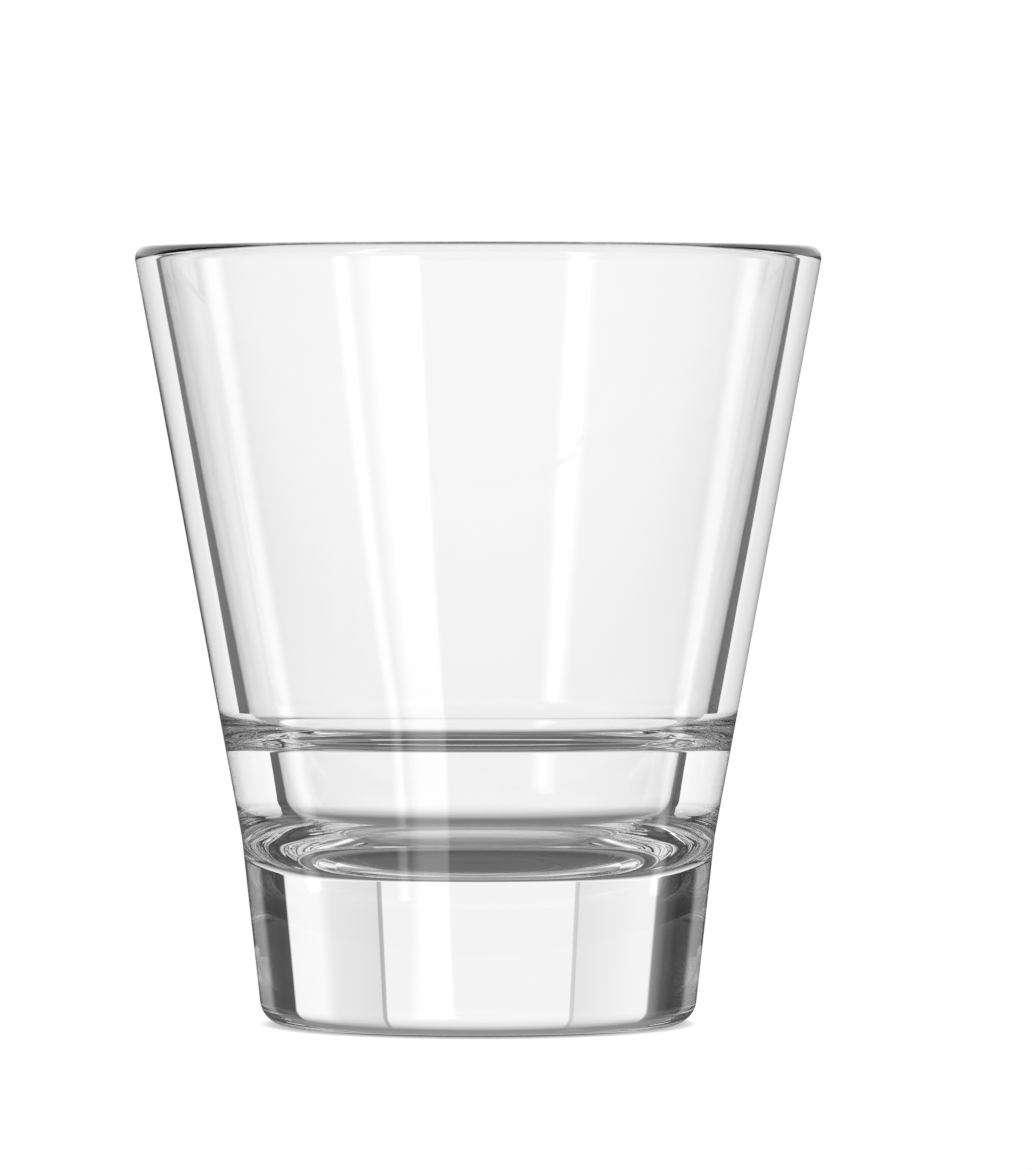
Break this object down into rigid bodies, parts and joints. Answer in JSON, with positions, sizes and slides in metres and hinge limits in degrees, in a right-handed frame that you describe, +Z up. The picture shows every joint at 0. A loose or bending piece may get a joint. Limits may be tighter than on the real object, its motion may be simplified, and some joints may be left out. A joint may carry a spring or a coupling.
{
  "type": "rocks glass",
  "caption": "Clear stacking rocks glass: a flared round tumbler with a rounded lip, a stacking ledge inside, a narrower well below it and a thick solid foot.",
  "frame": {"origin": "on the axis of the glass, in the plane of the ring that it stands on", "axes": "+Z up along the axis of the glass, from the foot to the rim; the glass is round, so X and Y are free"},
  "size_m": [0.0952, 0.0952, 0.108],
  "materials": {
    "clear_glass": "fire-polished, clear and smooth"
  },
  "bodies": {
    "root": {"tumbler": "clear_glass"}
  },
  "joints": []
}
